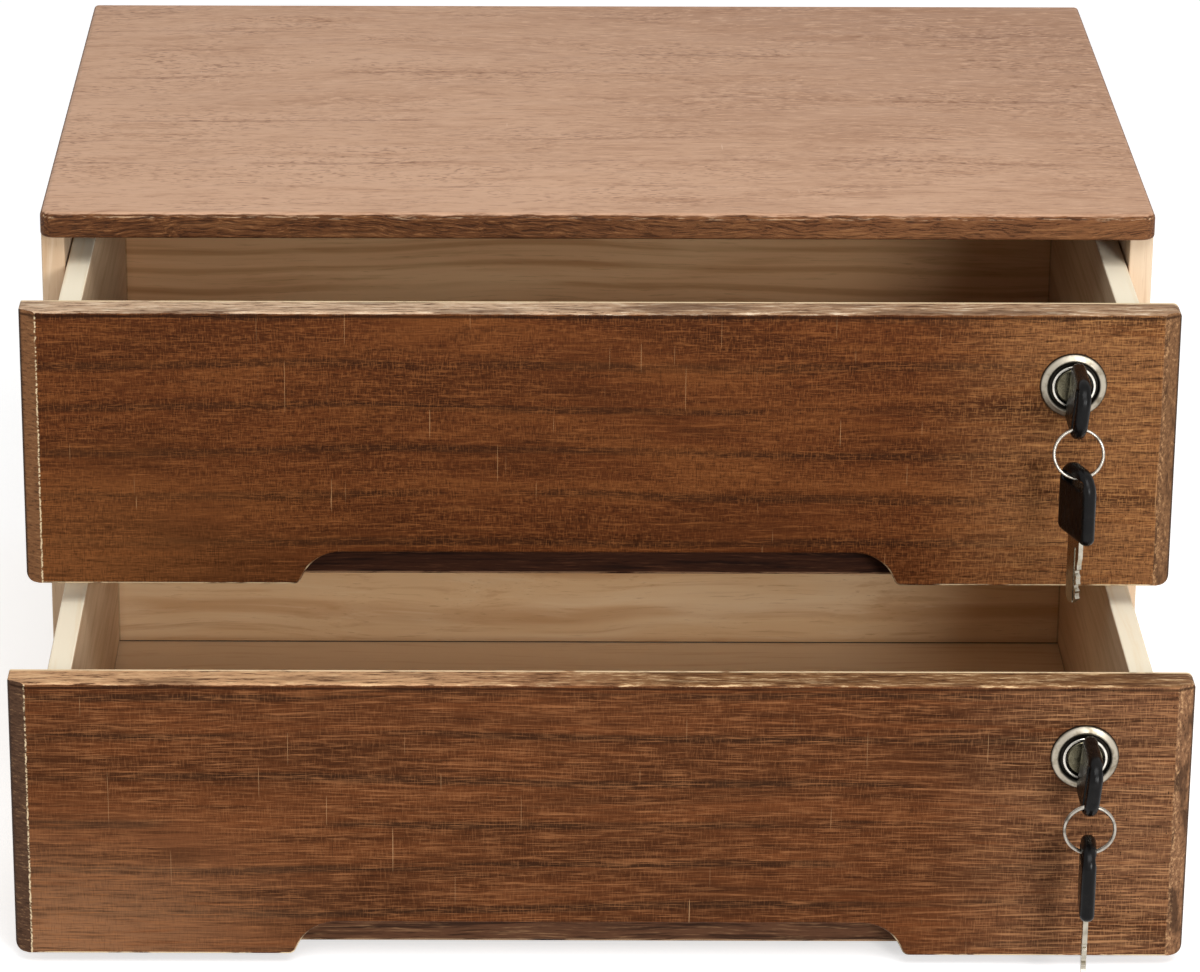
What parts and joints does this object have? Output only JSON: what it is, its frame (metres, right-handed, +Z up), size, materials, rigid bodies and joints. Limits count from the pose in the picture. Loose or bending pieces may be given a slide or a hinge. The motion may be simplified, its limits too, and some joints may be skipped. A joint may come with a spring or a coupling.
{
  "type": "desktop drawer organizer",
  "caption": "Low wooden desktop cabinet with stacked, lockable drawers standing partly open; long finger notches, cam locks with keys on split rings.",
  "frame": {"origin": "middle of the cabinet's base, on the surface it stands on", "axes": "+X to the right, +Y to the back, +Z up"},
  "size_m": [0.3856, 0.4307, 0.2165],
  "materials": {
    "cabinet_wood": "matt stained wood, rubbed pale in places",
    "front_wood": "satin dark brown stained wood",
    "box_wood": "matt pale wood",
    "box_wood_dark": "matt dark brown stain",
    "box_plywood": "matt plywood",
    "shelf_plywood": "matt plywood",
    "dowel_wood": "matt hardwood",
    "nail_steel": "dull",
    "screw_steel": "zinc plated",
    "trim_nickel": "satin nickel plate",
    "lock_nickel": "nickel plate",
    "wafer_brass": "plain",
    "cam_steel": "zinc plated",
    "key_nickel": "nickel plate",
    "key_plastic": "black, moulded",
    "ring_steel": "bright nickel plate"
  },
  "bodies": {
    "cabinet": {"top_panel": "cabinet_wood", "left_side_panel": "cabinet_wood", "right_side_panel": "cabinet_wood", "divider_shelf": "shelf_plywood", "base_panel": "shelf_plywood", "back_panel": "shelf_plywood", "top_dowels": "dowel_wood", "shelf_brads": "nail_steel", "base_brads": "nail_steel", "back_brads": "nail_steel"},
    "upper_drawer": {"upper_drawer_front": "front_wood", "upper_box_front": "box_wood_dark", "upper_box_left_side": "box_wood", "upper_box_right_side": "box_wood", "upper_box_back": "box_wood", "upper_box_bottom": "box_plywood", "upper_box_brads": "nail_steel", "upper_front_screws": "screw_steel", "upper_lock_trim_ring": "trim_nickel", "upper_lock_housing": "lock_nickel", "upper_lock_nut": "lock_nickel"},
    "upper_lock": {"upper_lock_plug": "lock_nickel", "upper_lock_wafers": "wafer_brass", "upper_lock_stop_washer": "nail_steel", "upper_lock_cam": "cam_steel", "upper_lock_cam_screw": "screw_steel"},
    "upper_key": {"upper_key_blade": "key_nickel", "upper_key_head": "key_plastic"},
    "upper_key_ring": {"upper_key_ring": "ring_steel"},
    "upper_spare_key": {"upper_spare_key_blade": "key_nickel", "upper_spare_key_head": "key_plastic"},
    "lower_drawer": {"lower_drawer_front": "front_wood", "lower_box_front": "box_wood_dark", "lower_box_left_side": "box_wood", "lower_box_right_side": "box_wood", "lower_box_back": "box_wood", "lower_box_bottom": "box_plywood", "lower_box_brads": "nail_steel", "lower_front_screws": "screw_steel", "lower_lock_trim_ring": "trim_nickel", "lower_lock_housing": "lock_nickel", "lower_lock_nut": "lock_nickel"},
    "lower_lock": {"lower_lock_plug": "lock_nickel", "lower_lock_wafers": "wafer_brass", "lower_lock_stop_washer": "nail_steel", "lower_lock_cam": "cam_steel", "lower_lock_cam_screw": "screw_steel"},
    "lower_key": {"lower_key_blade": "key_nickel", "lower_key_head": "key_plastic"},
    "lower_key_ring": {"lower_key_ring": "ring_steel"},
    "lower_spare_key": {"lower_spare_key_blade": "key_nickel", "lower_spare_key_head": "key_plastic"}
  },
  "joints": [
    {"name": "upper_drawer_slide", "type": "slide", "parent": "cabinet", "child": "upper_drawer", "axis": [0, -1, 0], "range_m": [-0.0525, 0.1275]},
    {"name": "upper_lock_turn", "type": "hinge", "parent": "upper_drawer", "child": "upper_lock", "pos_m": [0.15725, -0.191, 0.1765], "axis": [0, 1, 0], "range_deg": [-5, 85]},
    {"name": "upper_key_slide", "type": "slide", "parent": "upper_lock", "child": "upper_key", "axis": [0, -1, 0], "range_m": [0, 0.025]},
    {"name": "upper_ring_swing", "type": "hinge", "parent": "upper_key", "child": "upper_key_ring", "pos_m": [0.15674, -0.2167, 0.17034], "axis": [-1, 0, 0], "range_deg": [-12, 60]},
    {"name": "upper_spare_key_swing", "type": "hinge", "parent": "upper_key_ring", "child": "upper_spare_key", "pos_m": [0.15674, -0.22117, 0.15477], "axis": [-1, 0, 0], "range_deg": [-12, 50]},
    {"name": "lower_drawer_slide", "type": "slide", "parent": "cabinet", "child": "lower_drawer", "axis": [0, -1, 0], "range_m": [-0.1297, 0.0503]},
    {"name": "lower_lock_turn", "type": "hinge", "parent": "lower_drawer", "child": "lower_lock", "pos_m": [0.15725, -0.2682, 0.0762], "axis": [0, 1, 0], "range_deg": [-5, 85]},
    {"name": "lower_key_slide", "type": "slide", "parent": "lower_lock", "child": "lower_key", "axis": [0, -1, 0], "range_m": [0, 0.025]},
    {"name": "lower_ring_swing", "type": "hinge", "parent": "lower_key", "child": "lower_key_ring", "pos_m": [0.15674, -0.2939, 0.07004], "axis": [-1, 0, 0], "range_deg": [-12, 60]},
    {"name": "lower_spare_key_swing", "type": "hinge", "parent": "lower_key_ring", "child": "lower_spare_key", "pos_m": [0.15674, -0.2939, 0.05384], "axis": [-1, 0, 0], "range_deg": [-12, 50]}
  ]
}
